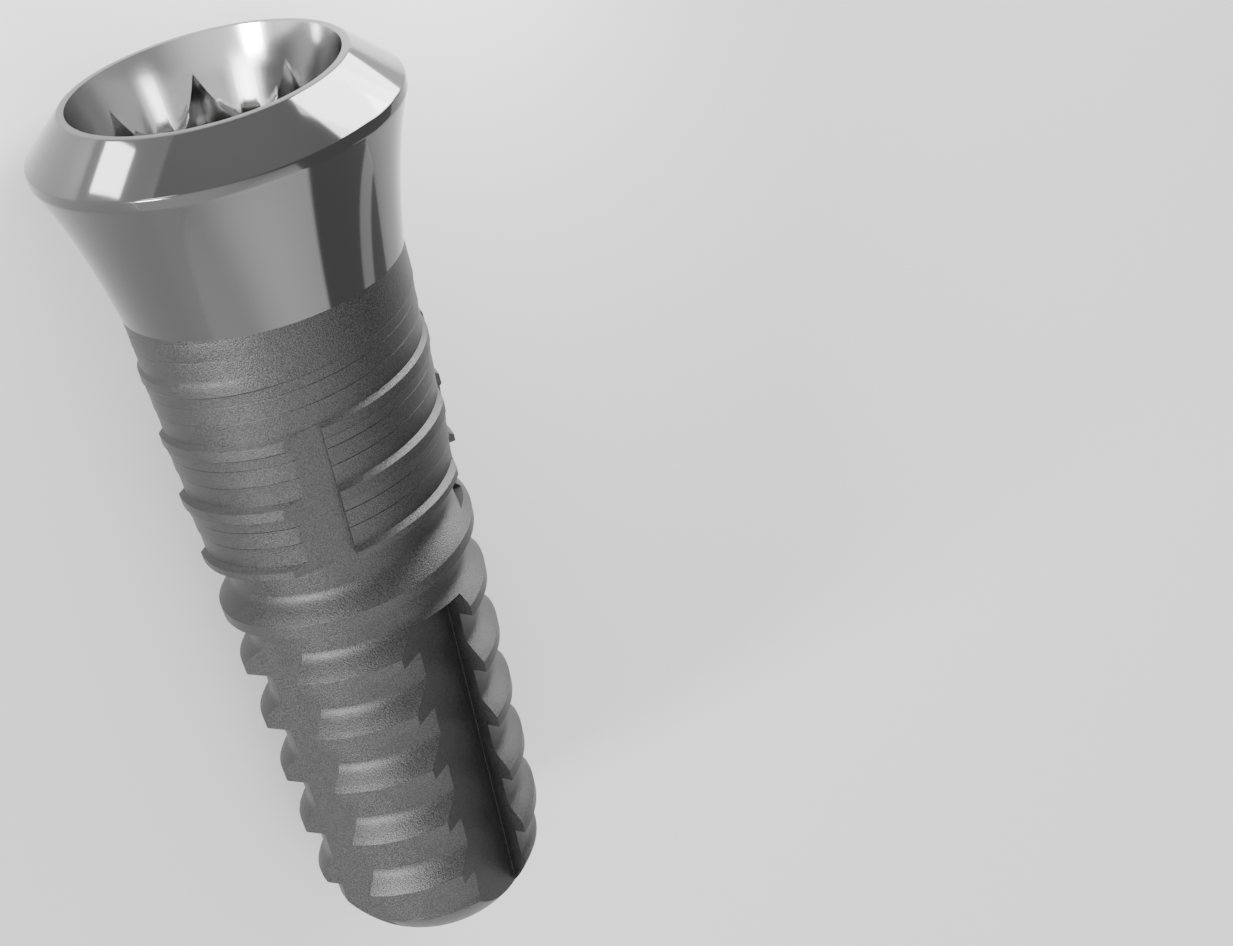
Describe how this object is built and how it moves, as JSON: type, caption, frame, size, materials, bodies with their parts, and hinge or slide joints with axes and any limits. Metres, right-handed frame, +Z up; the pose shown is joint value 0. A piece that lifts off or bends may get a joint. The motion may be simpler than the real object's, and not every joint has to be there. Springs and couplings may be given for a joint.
{
  "type": "dental implant",
  "caption": "Tapered titanium dental implant screw with a flared polished collar, an internal star-shaped driver socket, a right-hand thread and cutting flutes.",
  "frame": {"origin": "centre of the bounding box's footprint, on the floor the implant lies on", "axes": "+X along the implant's length towards the domed apex (the axis itself leans 4.67 degrees down towards it), +Z up, mouth towards -X"},
  "size_m": [0.013, 0.0048, 0.0048],
  "materials": {
    "titanium": "commercially pure titanium: machined and polished collar, bevel and neck; blasted and acid-etched, finely rough matte grey below the neck"
  },
  "bodies": {
    "root": {"implant_body": "titanium"}
  },
  "joints": []
}
